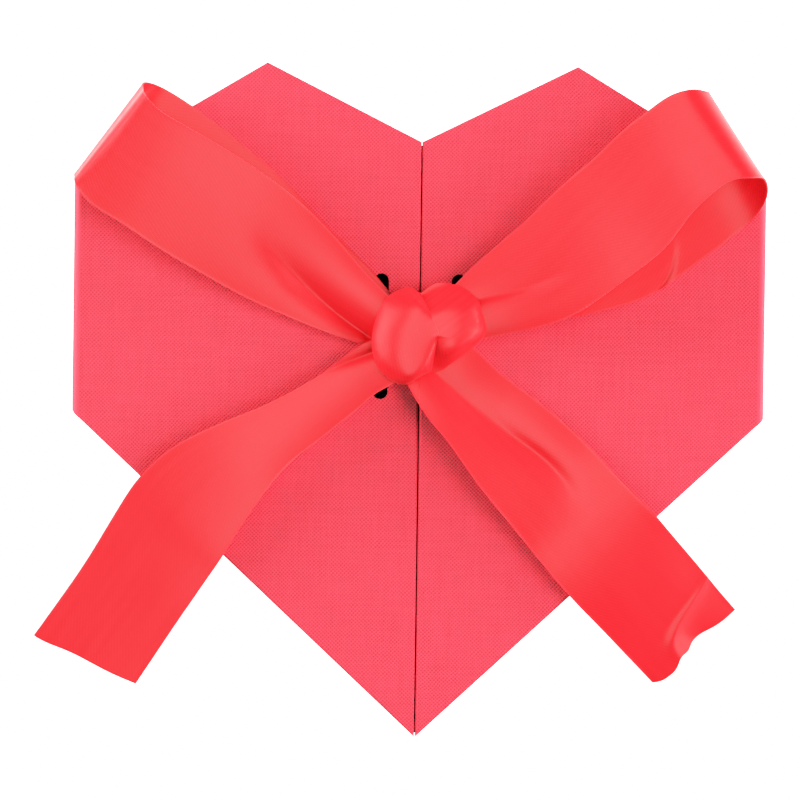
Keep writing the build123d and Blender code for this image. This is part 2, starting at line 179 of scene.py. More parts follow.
# A ribbon's end goes from its glued tab to the slot and up through it. Its sizes are in mm, and its path is
# in places out from the slot and up from the tab.
END_PATH = ((14, 0), (6, 0), (2.2, 0.05), (0.5, 0.8), (0, 2.4), (0, 3.6))
END_IN_SLOT, END_OVER_BOX, END_RISE = 0.6, 0.19, 1.4  # from its solid's inner side, underside and top
PLEATS, PLEAT_DEPTH = 4.5, 0.32
PLEAT_START, PLEAT_FADE = 0.4, 1.5  # height over the tab, and the rise over which pleats come in
END_GRID = (120, 60)  # lines along and across

# The satin's weave in metres: from one float, twill line, bar or bead to the next, and where its selvedge
# fades in. How far the linen's threads wander, and the depth of each relief, are in metres too.
FLOAT_PITCH, TWILL_PITCH, BAR_PITCH, BEAD_PITCH = 0.00052, 0.00118, 0.00093, 0.00125
SELVEDGE_INNER, SELVEDGE_OUTER = 0.0008, 0.0003
LINEN_DRIFT = 0.0009
LINEN_DEPTH, BOARD_DEPTH, SATIN_DEPTH = 0.00012, 0.00008, 0.00006
# Noise features per metre.
NOISE = {"drift": 160, "slub": 900, "cloud": 34, "streak": 420, "grain": 2600, "fibre": 1400, "floor": 60}
SLUB_STRETCH = 0.06

# The floor's half size and level in mm, its lines each way, and its own glow.
FLOOR_HALF, FLOOR_LEVEL, FLOOR_LINES, FLOOR_GLOW = 4000, -0.2, 9, 2.0
FILM_SHOULDER, FILM_GAIN, FILM_BRIGHTEST = 3.5, 1.012, 4.0

# Each softbox: its place and size in metres, its power as a share of the stage's, and whether it only lights
# matt surfaces or is only mirrored in glossy ones. All of them face the aim.
SOFTBOX_AIM = (0, 0, 0.1)
SOFTBOXES = {
    "high right": ((1.10, 0.0, 1.40), (0.9, 0.9), 0.155, "lights"),
    "right": ((1.52, -0.41, 0.74), (0.8, 0.5), 0.14, "lights"),
    "low right": ((1.52, 0.65, 0.48), (0.9, 0.4), 0.23, "lights"),
    "left": ((-1.48, 0.54, 0.74), (0.8, 0.5), 0.16, "lights"),
    "low left": ((-1.60, 0.50, 0.32), (0.9, 0.4), 0.28, "lights"),
    "wide left": ((-1.60, 0.30, 1.00), (1.7, 1.7), 0.30, "mirrored"),
    "wide right": ((1.40, 0.0, 0.80), (2.2, 1.2), 0.10, "mirrored"),
    "top": ((-0.10, 0.0, 1.60), (2.2, 0.6), 0.178, "mirrored"),
}

# The knot's sizes are in mm. Its outline is a turn from +X in degrees, and the reach from its middle.
KNOT_MIDDLE = (0.0, 23.4)
KNOT_OUTLINE = (
    (-72, 13.6), (-57, 14.3), (-39, 14.9), (-24, 16.6), (-11, 19.1), (-3, 21.7), (3, 23.3), (9, 24.1),
    (16, 24.3), (23, 24.5), (32, 24.6), (39, 24), (48, 23.3), (55, 22.5), (63, 21.4), (72, 20.2), (79, 18.4),
    (84, 16.8), (90, 15.6), (101, 17.8), (113, 18.2), (125, 18.4), (137, 18.2), (148, 17.5), (162, 17),
    (177, 17.2), (190, 17.6), (202, 18.1), (214, 18.6), (225, 18.8), (237, 18.9), (249, 18.5), (258, 17.3),
    (267, 15.2), (277, 13.8), (288, 13.6),
)
KNOT_RIM, KNOT_TOP, KNOT_FOOT = 8.5, 15.0, 1.2  # heights over the doors
KNOT_BRIM = 0.72  # share of the rings that make the top
KNOT_ROUND = 0.6  # share of the other rings that round off the rim
KNOT_WAIST = 0.86  # share of the reach that is left below it
KNOT_SQUARENESS, KNOT_FRONT_SQUARENESS = 4, 9  # power of the top's fall, and what the front adds to it
KNOT_DOME = 0.8
KNOT_BLEND = 2  # over which one lobe's fall passes into the other's, and the crown into the rim
KNOT_PARTING = 0.006  # how far each lobe is moved off the fold
KNOT_ACROSS = (0.8, 0.6)  # the way across the ribbon
KNOT_HALF_WIDTH, KNOT_MARGIN = 20, 2  # of the ribbon's map, and what is kept clear of its selvedge
# The fold between the knot's lobes runs from the notch over the pole to the pocket.
KNOT_POLE = (6.3, 25.0)
KNOT_NOTCH = (0.0, 39.0)
KNOT_POCKET = (4.2, 10.5)
# Each end's fold: its full depth, the power by which it deepens, and its reach to the left and to the right.
FOLD_START = 0.1  # share of the way from the pole
NOTCH_FOLD = (8.0, 3.0, 1.5, 5.0)
POCKET_FOLD = (5.0, 0.8, 1.0, 5.0)
# Each lobe's ridge: a point on it, its lean in degrees, and how the knot falls away from it towards the back
# and towards the front: the slope, the width of its flat part, and the curve beyond it.
KNOT_RIDGES = {
    "left": ((-8.2, 25.6), 38.7, (0.01, 1.0, 0.024), (0.045, 30, 0.0)),
    "right": ((12.9, 25.0), 11.8, (0.04, 5.5, 0.034), (0.03, 3.6, 0.085)),
}


class HEARTBOX_PG_paper(bpy.types.PropertyGroup):
    """The box's papers and boards."""
    red: FloatVectorProperty(
        name="Red paper", description="Colour of the linen paper outside", subtype="COLOR", size=3,
        default=(0.80, 0.0295, 0.0515), min=0, max=1)
    black: FloatVectorProperty(
        name="Black paper", description="Colour of the lining inside", subtype="COLOR", size=3,
        default=(0.014, 0.012, 0.013), min=0, max=1)
    board: FloatVectorProperty(
        name="Board", description="Colour of the grey board under the paper", subtype="COLOR", size=3,
        default=(0.20, 0.18, 0.165), min=0, max=1)
    pitch: FloatProperty(
        name="Linen pitch", description="Distance from one embossed thread to the next but one",
        unit="LENGTH", default=0.00137, min=0.0004, max=0.01)


class HEARTBOX_PG_ribbon(bpy.types.PropertyGroup):
    """The satin ribbon."""
    red: FloatVectorProperty(
        name="Satin red", description="Colour of the ribbon", subtype="COLOR", size=3,
        default=(0.80, 0.0115, 0.0172), min=0, max=1)
    width: FloatProperty(
        name="Width", description="Width of the ribbon laid flat", unit="LENGTH",
        default=0.040, min=0.01, max=0.1)
    thickness: FloatProperty(
        name="Thickness", description="Thickness of the ribbon", unit="LENGTH",
        default=0.00036, min=0.0001, max=0.002)
    selvedge: FloatProperty(
        name="Selvedge", description="Thickness that the woven edge adds", unit="LENGTH",
        default=0.00012, min=0, max=0.001)


class HEARTBOX_PG_stage(bpy.types.PropertyGroup):
    """The floor and the studio lights."""
    floor: FloatVectorProperty(
        name="Floor", description="Colour of the floor", subtype="COLOR", size=3,
        default=(0.30, 0.30, 0.30), min=0, max=1)
    power: FloatProperty(
        name="Lights", description="Power that each softbox takes its own share of", unit="POWER",
        default=262, min=0)
    sky: FloatProperty(
        name="Room", description="Brightness of the room past the floor, which only the camera sees",
        default=2.6, min=0)


def spline(knots, rows, at):
    """Natural cubic spline: passes through the rows at the knots, with no bend at either end. It is read at
    the places given."""
    knots, rows, at = np.asarray(knots, float), np.asarray(rows, float), np.asarray(at, float)
    gaps = np.diff(knots)
    inner = np.arange(1, len(knots) - 1)
    system = np.eye(len(knots))
    system[inner, inner - 1] = gaps[:-1]
    system[inner, inner] = 2 * (gaps[:-1] + gaps[1:])
    system[inner, inner + 1] = gaps[1:]
    slopes = np.diff(rows, axis=0) / gaps[:, None]
    right = np.zeros_like(rows)
    right[1:-1] = 6 * np.diff(slopes, axis=0)
    bends = np.linalg.solve(system, right)
    k = np.clip(np.searchsorted(knots, at, side="right") - 1, 0, len(knots) - 2)
    t, h = (at - knots[k])[..., None], gaps[k][..., None]
    a, b, bend_a, bend_b = rows[k], rows[k + 1], bends[k], bends[k + 1]
    straight = a + t * ((b - a) / h - h * (2 * bend_a + bend_b) / 6)
    return straight + t**2 * bend_a / 2 + t**3 * (bend_b - bend_a) / (6 * h)


def raised(rows, camera):
    """Rows seen on the level of the doors, each moved along its line of sight to its own height: its way from
    the point below the camera shrinks by its height's share of the camera's height over the doors."""
    rows = np.asarray(rows, float)
    height = CAMERA_PLACE[2] / MM - DOOR_TOP
    level = rows[:, 2:]
    return np.concatenate([camera + (rows[:, :2] - camera) * (1 - level / height), level], axis=1)


def edge_line(rows, turn, at):
    """An edge as a spline by its chord length, so spaced that the row numbered turn falls half way. Returns
    its points and its length."""
    run = np.concatenate([[0], np.cumsum(np.linalg.norm(np.diff(rows, axis=0), axis=1))])
    half = run[turn]
    share = np.where(run <= half, run / half, 1 + (run - half) / (run[-1] - half)) / 2
    return spline(share, rows, at), run[-1]


def crease(along, aside, rows):
    """A fold line's height: its depth falls off as exp(-distance / reach) from the line, with a reach for
    each side. Its bottom is rounded, the less so the more the two reaches differ."""
    rows = np.asarray(rows, float)
    at = np.clip(along, rows[0, 0], rows[-1, 0])
    line, depth, right, left = np.moveaxis(spline(rows[:, 0], rows[:, 1:], at), -1, 0)
    off = aside - line
    near, far = np.minimum(right, left), np.maximum(right, left)
    rounding = CREASE_ROUNDING * near * np.sqrt(near / far)
    distance = np.sqrt(off**2 + rounding**2) - rounding
    return depth * np.exp(-distance / np.where(off < 0, right, left))


def ribbon_grid(shape, along_count=260, across_count=56):
    """The ribbon's middle surface: straight lines from the right edge to the left one, raised by a crest that
    is a parabola across, and by the creases of the layer on top or the one under it. A cut end is shifted
    along the ribbon by its own rows. Returns the points, the shares along and across, and the length."""
    s = np.linspace(0, 1, along_count)
    even = np.linspace(0, 1, across_count)
    t = (1 - EDGE_CROWDING) * even + EDGE_CROWDING * (1 - np.cos(np.pi * even)) / 2
    turn = math.radians(shape["heading"])
    ahead = np.array((math.cos(turn), math.sin(turn)))
    side = np.array((-ahead[1], ahead[0]))
    from_start = np.array(CAMERA_PLACE[:2]) / MM - shape["origin"]
    camera = np.array((from_start @ ahead, from_start @ side))
    right, right_run = edge_line(raised(shape["right"], camera), shape["turn"], s)
    left, left_run = edge_line(raised(shape["left"], camera), shape["turn"], s)
    grid = right[:, None] * (1 - t)[:, None] + left[:, None] * t[:, None]
    crest = spline(*zip(*[(a, (b,)) for a, b in shape["crest"]]), s)
    grid[..., 2] += crest * (4 * t * (1 - t))
    loop = shape["right"][shape["turn"]][0] > max(shape["right"][0][0], shape["right"][-1][0])
    on_top = np.clip((s - TOP_STARTS) / TOP_FADE, 0, 1)[:, None] if loop else np.ones((along_count, 1))
    for rows in shape["creases"]:
        grid[..., 2] += crease(grid[..., 0], grid[..., 1], rows) * on_top
    for rows in shape.get("under", ()):
        grid[..., 2] += crease(grid[..., 0], grid[..., 1], rows) * (1 - on_top)
    if "end" in shape:
        aside, reach = np.asarray(shape["end"], float).T
        shift = spline(aside, reach[:, None], np.clip(grid[..., 1], aside[0], aside[-1]))[..., 0]
        grid[..., 0] += shift * np.clip((s - (1 - END_RUN)) / END_RUN, 0, 1)[:, None] ** 2
    plan = np.asarray(shape["origin"]) + grid[..., :1] * ahead + grid[..., 1:2] * side
    points = np.concatenate([plan, grid[..., 2:] + DOOR_TOP], axis=-1)
    length = (right_run + left_run) / 2
    return points, s, t, length


def quads(number):
    """The faces of a grid of vertex numbers, each with the corners of one cell."""
    corners = [number[:-1, :-1], number[1:, :-1], number[1:, 1:], number[:-1, 1:]]
    return np.stack(corners, -1).reshape(-1, 4)


def shell(points, thickness):
    """A closed shell: the grid moved half its thickness each way along its normals, and a rim round it."""
    rows, columns = points.shape[:2]
    normal = np.cross(np.gradient(points, axis=0), np.gradient(points, axis=1))
    normal /= np.linalg.norm(normal, axis=-1, keepdims=True)
    step = normal * (thickness / 2)[..., None]
    vertices = np.concatenate([(points + step).reshape(-1, 3), (points - step).reshape(-1, 3)])
    number = np.arange(rows * columns).reshape(rows, columns)
    upper = quads(number)
    border = np.concatenate([number[:, 0], number[-1, 1:], number[-2::-1, -1], number[0, -2::-1]])
    a, b = border[:-1], border[1:]
    below = rows * columns
    rim = np.stack([b, a, a + below, b + below], -1)
    return vertices, np.concatenate([upper, upper[:, ::-1] + below, rim])


def make_piece(name, vertices, faces, material, uv=None):
    """A smooth mesh object at the origin from vertices in mm, with its sharp edges kept."""
    mesh = bpy.data.meshes.new(name)
    mesh.from_pydata((vertices * MM).tolist(), [], faces if isinstance(faces, list) else faces.tolist())
    if uv is not None:
        corner = np.zeros(len(mesh.loops), np.int32)
        mesh.loops.foreach_get("vertex_index", corner)
        mesh.uv_layers.new(name="ribbon").data.foreach_set("uv", uv[corner].astype(np.float32).ravel())
    mesh.polygons.foreach_set("use_smooth", np.ones(len(mesh.polygons), bool))
    mesh.set_sharp_from_angle(angle=math.radians(SHARP_EDGE))
    mesh.materials.append(material)
    mesh.update()
    piece = bpy.data.objects.new(name, mesh)
    bpy.context.scene.collection.objects.link(piece)
    return piece


def make_ribbon(name, shape, look):
    """One stretch of ribbon as a shell, with a bead of selvedge along both edges."""
    points, s, t, length = ribbon_grid(shape)
    width = look.width / MM
    from_edge = np.minimum(t, 1 - t) * width
    thickness = look.thickness / MM + look.selvedge / MM * np.exp(-((from_edge / BEAD_WIDTH) ** 2))
    vertices, faces = shell(points, np.broadcast_to(thickness, points.shape[:2]))
    across, along = np.meshgrid(t * width, s * length)
    uv = np.stack([across, along], -1).reshape(-1, 2) * MM
    return make_piece(name, vertices, faces, satin(), np.concatenate([uv, uv])), length


def new_tree(name, inputs, outputs):
    """An empty node group with a Value socket for each name; returns it and its two end nodes."""
    tree = bpy.data.node_groups.new(name, "ShaderNodeTree")
    for direction, sockets in (("INPUT", inputs), ("OUTPUT", outputs)):
        for socket in sockets:
            tree.interface.new_socket(name=socket, in_out=direction, socket_type="NodeSocketFloat")
    return tree, tree.nodes.new("NodeGroupInput"), tree.nodes.new("NodeGroupOutput")


def math_node(tree, operation, *values):
    """A Math node whose inputs are numbers or sockets; returns its output."""
    node = tree.nodes.new("ShaderNodeMath")
    node.operation = operation
    feed(tree, node, values)
    return node.outputs[0]


def vector_node(tree, operation, *values):
    """A Vector Math node whose inputs are vectors or sockets; returns its node."""
    node = tree.nodes.new("ShaderNodeVectorMath")
    node.operation = operation
    feed(tree, node, values)
    return node


def feed(tree, node, values):
    """Links each socket given to the node's inputs in turn, and sets each plain value."""
    for socket, value in zip(node.inputs, values):
        if isinstance(value, bpy.types.NodeSocket):
            tree.links.new(value, socket)
        else:
            socket.default_value = value


def noise(tree, vector, scale, detail=2.0, stretch=(1, 1, 1)):
    """A Noise texture read at a vector times a factor for each axis; returns its value from 0 to 1."""
    node = tree.nodes.new("ShaderNodeTexNoise")
    node.inputs["Scale"].default_value = scale
    node.inputs["Detail"].default_value = detail
    tree.links.new(vector_node(tree, "MULTIPLY", vector, stretch).outputs[0], node.inputs["Vector"])
    return node.outputs["Fac"]


def wave(tree, place, pitch):
    """cos(2 pi place / pitch)."""
    turns = math_node(tree, "DIVIDE", place, pitch)
    return math_node(tree, "COSINE", math_node(tree, "MULTIPLY", turns, math.tau))


def between(tree, value, low, high, to_low=0.0, to_high=1.0):
    """A value mapped smoothly from low..high to the new range."""
    node = tree.nodes.new("ShaderNodeMapRange")
    node.interpolation_type = "SMOOTHSTEP"
    feed(tree, node, (value, low, high, to_low, to_high))
    return node.outputs[0]


def mixed(tree, share, first, second):
    """Two colours, each a socket or three parts, mixed by a socket's share; returns the colour."""
    node = tree.nodes.new("ShaderNodeMix")
    node.data_type = "RGBA"
    for place, value in ((0, share), (6, first), (7, second)):
        if isinstance(value, bpy.types.NodeSocket):
            tree.links.new(value, node.inputs[place])
        else:
            node.inputs[place].default_value = (*value, 1)
    return node.outputs[2]


def shade(colour, factor):
    """A colour times a factor, with no part over 1."""
    return tuple(min(1, part * factor) for part in colour)


def linen_group():
    """Embossed linen: a plain weave, cos times cos over the face, with slubs that swell single threads.
    Level faces take the weave from x and y, and walls from height and the distance along the wall."""
    if "linen emboss" in bpy.data.node_groups:
        return bpy.data.node_groups["linen emboss"]
    tree, start, end = new_tree("linen emboss", ("Pitch", "Slub"), ("Height", "Pit", "Cloud"))
    place = tree.nodes.new("ShaderNodeTexCoord")
    spot, facing = place.outputs["Object"], place.outputs["Normal"]
    level = between(tree, math_node(tree, "ABSOLUTE", split(tree, facing)[2]), 0.6, 0.8)
    sideways = vector_node(tree, "CROSS_PRODUCT", facing, (0, 0, 1)).outputs[0]
    along_wall = vector_node(tree, "DOT_PRODUCT", spot, sideways)
    x, y, z = split(tree, spot)
    first = math_node(tree, "ADD", math_node(tree, "MULTIPLY", x, level), math_node(
        tree, "MULTIPLY", along_wall.outputs["Value"], math_node(tree, "SUBTRACT", 1.0, level)))
    second = math_node(tree, "ADD", math_node(tree, "MULTIPLY", y, level), math_node(
        tree, "MULTIPLY", z, math_node(tree, "SUBTRACT", 1.0, level)))
    wander = math_node(tree, "SUBTRACT", noise(tree, spot, NOISE["drift"], 2), 0.5)
    drift = math_node(tree, "MULTIPLY", wander, LINEN_DRIFT)
    pitch = start.outputs["Pitch"]
    weave = math_node(
        tree, "MULTIPLY", wave(tree, math_node(tree, "ADD", first, drift), pitch),
        wave(tree, math_node(tree, "SUBTRACT", second, drift), pitch))
    slubs = math_node(
        tree, "ADD", noise(tree, spot, NOISE["slub"], 1, (SLUB_STRETCH, 1, 1)),
        noise(tree, spot, NOISE["slub"], 1, (1, SLUB_STRETCH, 1)))
    swell = math_node(tree, "MULTIPLY", math_node(tree, "SUBTRACT", slubs, 1.0), start.outputs["Slub"])
    height = math_node(tree, "ADD", weave, swell)
    tree.links.new(height, end.inputs["Height"])
    tree.links.new(between(tree, height, 0.3, -1.0), end.inputs["Pit"])
    tree.links.new(noise(tree, spot, NOISE["cloud"], 3), end.inputs["Cloud"])
    return tree


def split(tree, vector):
    """A vector's three parts."""
    node = tree.nodes.new("ShaderNodeSeparateXYZ")
    tree.links.new(vector, node.inputs[0])
    return node.outputs


def satin_group():
    """Satin weave on the ribbon's own map, u across and v along: fine floats along the ribbon, a faint twill,
    streaks drawn out along it, and a beaded selvedge at both edges."""
    if "satin weave" in bpy.data.node_groups:
        return bpy.data.node_groups["satin weave"]
    tree, start, end = new_tree("satin weave", ("Width",), ("Height", "Streak", "Grain", "Selvedge"))
    place = tree.nodes.new("ShaderNodeTexCoord").outputs["UV"]
    u, v, _ = split(tree, place)
    floats = wave(tree, u, FLOAT_PITCH)
    twill = wave(tree, math_node(tree, "ADD", u, math_node(tree, "MULTIPLY", v, 0.8)), TWILL_PITCH)
    bar = wave(tree, v, BAR_PITCH)
    ground = math_node(tree, "ADD", math_node(tree, "MULTIPLY", floats, 0.35), math_node(
        tree, "MULTIPLY", math_node(tree, "MULTIPLY", twill, bar), 0.65))
    edge = math_node(tree, "MINIMUM", u, math_node(tree, "SUBTRACT", start.outputs["Width"], u))
    bead = math_node(tree, "ADD", 0.62, math_node(tree, "MULTIPLY", wave(tree, v, BEAD_PITCH), 0.38))
    selvedge = math_node(tree, "MULTIPLY", between(tree, edge, SELVEDGE_INNER, SELVEDGE_OUTER), bead)
    height = math_node(tree, "ADD", ground, math_node(tree, "MULTIPLY", selvedge, 3.0))
    tree.links.new(height, end.inputs["Height"])
    tree.links.new(noise(tree, place, NOISE["streak"], 3, (1, 0.05, 1)), end.inputs["Streak"])
    tree.links.new(noise(tree, place, NOISE["grain"], 1, (1, 0.5, 1)), end.inputs["Grain"])
    tree.links.new(selvedge, end.inputs["Selvedge"])
    return tree


def new_material(name):
    """A new material with a Principled shader; returns the material, its tree and the shader."""
    material = bpy.data.materials.new(name)
    material.use_nodes = True
    return material, material.node_tree, material.node_tree.nodes["Principled BSDF"]


def use_group(tree, group, **values):
    """A group node in a material, with its inputs set."""
    node = tree.nodes.new("ShaderNodeGroup")
    node.node_tree = group
    for name, value in values.items():
        node.inputs[name].default_value = value
    return node


def bump(tree, shader, height, strength, depth):
    """Height in, shader's normal out."""
    node = tree.nodes.new("ShaderNodeBump")
    node.inputs["Strength"].default_value = strength
    node.inputs["Distance"].default_value = depth
    tree.links.new(height, node.inputs["Height"])
    tree.links.new(node.outputs[0], shader.inputs["Normal"])


def linen_paper(name, colour, painted_pit_shade=0.62, strength=0.5, roughness=0.56, gloss=0.145):
    """Linen paper: painted shade darkens the weave's pits, its threads are smoother, and broad clouds change
    its tone.
    """
    if name in bpy.data.materials:
        return bpy.data.materials[name]
    pitch = bpy.context.scene.heartbox_paper.pitch
    material, tree, shader = new_material(name)
    linen = use_group(tree, linen_group(), Pitch=pitch, Slub=0.6)
    # Painted shade: the colour is darkened in the weave's pits, by the share given for the pits.
    toned = mixed(tree, linen.outputs["Pit"], colour, shade(colour, 1 - painted_pit_shade))
    cloud = between(tree, linen.outputs["Cloud"], 0.3, 0.7, 0.0, 0.10)
    tree.links.new(mixed(tree, cloud, toned, shade(colour, 0.8)), shader.inputs["Base Color"])
    rough = math_node(tree, "ADD", roughness, math_node(tree, "MULTIPLY", linen.outputs["Pit"], 0.16))
    tree.links.new(rough, shader.inputs["Roughness"])
    shader.inputs["Specular IOR Level"].default_value = gloss
    bump(tree, shader, linen.outputs["Height"], strength, LINEN_DEPTH)
    return material


def grey_board():
    """Grey board: pressed fibres, flecks of light and dark, matt."""
    if "grey board" in bpy.data.materials:
        return bpy.data.materials["grey board"]
    colour = tuple(bpy.context.scene.heartbox_paper.board)
    material, tree, shader = new_material("grey board")
    spot = tree.nodes.new("ShaderNodeTexCoord").outputs["Object"]
    fibres = noise(tree, spot, NOISE["fibre"], 3, (1, 0.2, 0.6))
    tone = mixed(tree, between(tree, fibres, 0.35, 0.7), shade(colour, 0.7), shade(colour, 1.25))
    tree.links.new(tone, shader.inputs["Base Color"])
    tree.links.new(between(tree, fibres, 0.2, 0.8, 0.82, 0.95), shader.inputs["Roughness"])
    bump(tree, shader, fibres, 0.4, BOARD_DEPTH)
    return material


def satin():
    """Satin ribbon: a soft broad gloss over deep red, with streaks that change the gloss, painted shade in
    the weave's low spots, and a paler beaded selvedge."""
    if "satin ribbon" in bpy.data.materials:
        return bpy.data.materials["satin ribbon"]
    look = bpy.context.scene.heartbox_ribbon
    colour = tuple(look.red)
    material, tree, shader = new_material("satin ribbon")
    weave = use_group(tree, satin_group(), Width=look.width)
    streak = between(tree, weave.outputs["Streak"], 0.25, 0.75)
    toned = mixed(tree, streak, shade(colour, 0.92), shade(colour, 1.1))
    grain = between(tree, weave.outputs["Grain"], 0.3, 0.7, 0.0, 0.4)
    toned = mixed(tree, grain, toned, shade(colour, 0.5))
    # Painted shade: the weave's low spots are darkened towards half the red.
    painted_weave_shade = between(tree, weave.outputs["Height"], 0.5, -0.7, 0.0, 0.7)
    toned = mixed(tree, painted_weave_shade, toned, shade(colour, 0.5))
    pale = (min(1, colour[0] * 1.05), colour[1] * 3.2, colour[2] * 3.0)
    edge = math_node(tree, "MULTIPLY", weave.outputs["Selvedge"], 0.3)
    tree.links.new(mixed(tree, edge, toned, pale), shader.inputs["Base Color"])
    tree.links.new(between(tree, weave.outputs["Streak"], 0.2, 0.8, 0.32, 0.37), shader.inputs["Roughness"])
    shader.inputs["Specular IOR Level"].default_value = 0.13
    shader.inputs["Sheen Weight"].default_value = 0.05
    shader.inputs["Sheen Roughness"].default_value = 0.4
    shader.inputs["Sheen Tint"].default_value = (1, 0.45, 0.45, 1)
    bump(tree, shader, weave.outputs["Height"], 0.12, SATIN_DEPTH)
    return material


def dress(name, material):
    """Gives a CAD node a material in place of the one it came with."""
    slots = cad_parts[name].data.materials
    slots.clear()
    slots.append(material)


class HEARTBOX_OT_papers(bpy.types.Operator):
    """Puts linen paper, black lining and grey board on the box's own parts"""
    bl_idname = "heartbox.papers"
    bl_label = "Papers and boards"

    def execute(self, context):
        paper = context.scene.heartbox_paper
        red = linen_paper("red linen paper", tuple(paper.red))
        # The paper on the hinges has a flatter emboss and less painted pit shade, so it comes out lighter: a
        # painted highlight for the rounded fold.
        smooth = linen_paper(
            "red linen paper at a fold", tuple(paper.red), painted_pit_shade=0.12, strength=0.2, roughness=0.5)
        black = linen_paper("black lining paper", tuple(paper.black), roughness=0.62, gloss=0.35)
        finishes = {"red_paper": red, "black_paper": black, "board": grey_board()}
        for name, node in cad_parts.items():
            slot = node.data.materials[0].name
            if slot in finishes:
                # Hinge parts take the lighter fold paper, a painted highlight on the rounded fold.
                dress(name, smooth if "hinge" in name else finishes[slot])
        return {"FINISHED"}


class HEARTBOX_OT_loops(bpy.types.Operator):
    """Lays the bow's two loops on the doors"""
    bl_idname = "heartbox.loops"
    bl_label = "Bow loops"

    def execute(self, context):
        look = context.scene.heartbox_ribbon
        for side, shape in (("left", LEFT_LOOP), ("right", RIGHT_LOOP)):
            piece, length = make_ribbon(side + "_bow_loop", shape, look)
            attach(piece, side + "_door")
            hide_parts(side + "_loop")
        return {"FINISHED"}


def cut_at_seam(piece, side):
    """Keeps the part of a piece on one side of the seam, and closes it along the cut."""
    work = bmesh.new()
    work.from_mesh(piece.data)
    bmesh.ops.bisect_plane(
        work, geom=[*work.verts, *work.edges, *work.faces], plane_co=(side * SEAM_CLEARANCE * MM, 0, 0),
        plane_no=(-side, 0, 0), clear_outer=True)
    bmesh.ops.holes_fill(work, edges=[edge for edge in work.edges if edge.is_boundary], sides=0)
    work.to_mesh(piece.data)
    work.free()


class HEARTBOX_OT_tails(bpy.types.Operator):
    """Lays the bow's two tails over the doors' edges"""
    bl_idname = "heartbox.tails"
    bl_label = "Bow tails"

    def execute(self, context):
        look = context.scene.heartbox_ribbon
        for side, shape in (("left", LEFT_TAIL), ("right", RIGHT_TAIL)):
            piece, length = make_ribbon(side + "_bow_tail", shape, look)
            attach(piece, side + "_door")
            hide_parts(side + "_tail")
            if side == "right":
                root = bpy.data.objects.new("right_tail_root", piece.data.copy())
                context.scene.collection.objects.link(root)
                cut_at_seam(piece, 1)
                cut_at_seam(root, -1)
                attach(root, "left_door")
        return {"FINISHED"}


def knot_reach(turn, samples=1200):
    """The distance from the knot's pole to its outline at each turn."""
    rows = np.asarray(KNOT_OUTLINE, float)
    angle = np.linspace(rows[0, 0], rows[-1, 0], samples)
    reach = spline(rows[:, 0], rows[:, 1:], angle)[:, 0]
    x = KNOT_MIDDLE[0] + reach * np.cos(np.radians(angle)) - KNOT_POLE[0]
    y = KNOT_MIDDLE[1] + reach * np.sin(np.radians(angle)) - KNOT_POLE[1]
    seen = np.degrees(np.arctan2(y, x))
    return np.interp(turn, *np.stack([seen, np.hypot(x, y)])[:, np.argsort(seen)], period=360)


def fold(x, y, end, depth, power, left, right):
    """A fold from the pole to an end: it deepens along the way by the given power, and rises on each side of
    its line as 1 - exp(-distance / reach)."""
    ahead = np.subtract(end, KNOT_POLE)
    length = np.hypot(*ahead)
    ahead = ahead / length
    along = ((x - KNOT_POLE[0]) * ahead[0] + (y - KNOT_POLE[1]) * ahead[1]) / length
    off = (x - KNOT_POLE[0]) * ahead[1] - (y - KNOT_POLE[1]) * ahead[0]
    off = off * np.sign(ahead[1])
    deep = np.clip(along - FOLD_START, 0, 1) ** power
    return depth * deep * np.exp(-np.abs(off) / np.where(off < 0, left, right))


def fall(x, y, ridge):
    """How far the knot lies under a ridge: on each side a slope, and a parabola beyond the flat part."""
    middle, lean, back, front = ridge
    turn = math.radians(lean)
    off = (y - middle[1]) * math.cos(turn) - (x - middle[0]) * math.sin(turn)
    sides = [
        slope * np.abs(off) + curve * np.clip(np.abs(off) - flat, 0, None) ** 2
        for slope, flat, curve in (back, front)
    ]
    return np.where(off > 0, *sides)


def turn_to(end):
    """The turn from the knot's pole to an end of the fold, in degrees."""
    return math.degrees(math.atan2(end[1] - KNOT_POLE[1], end[0] - KNOT_POLE[0]))


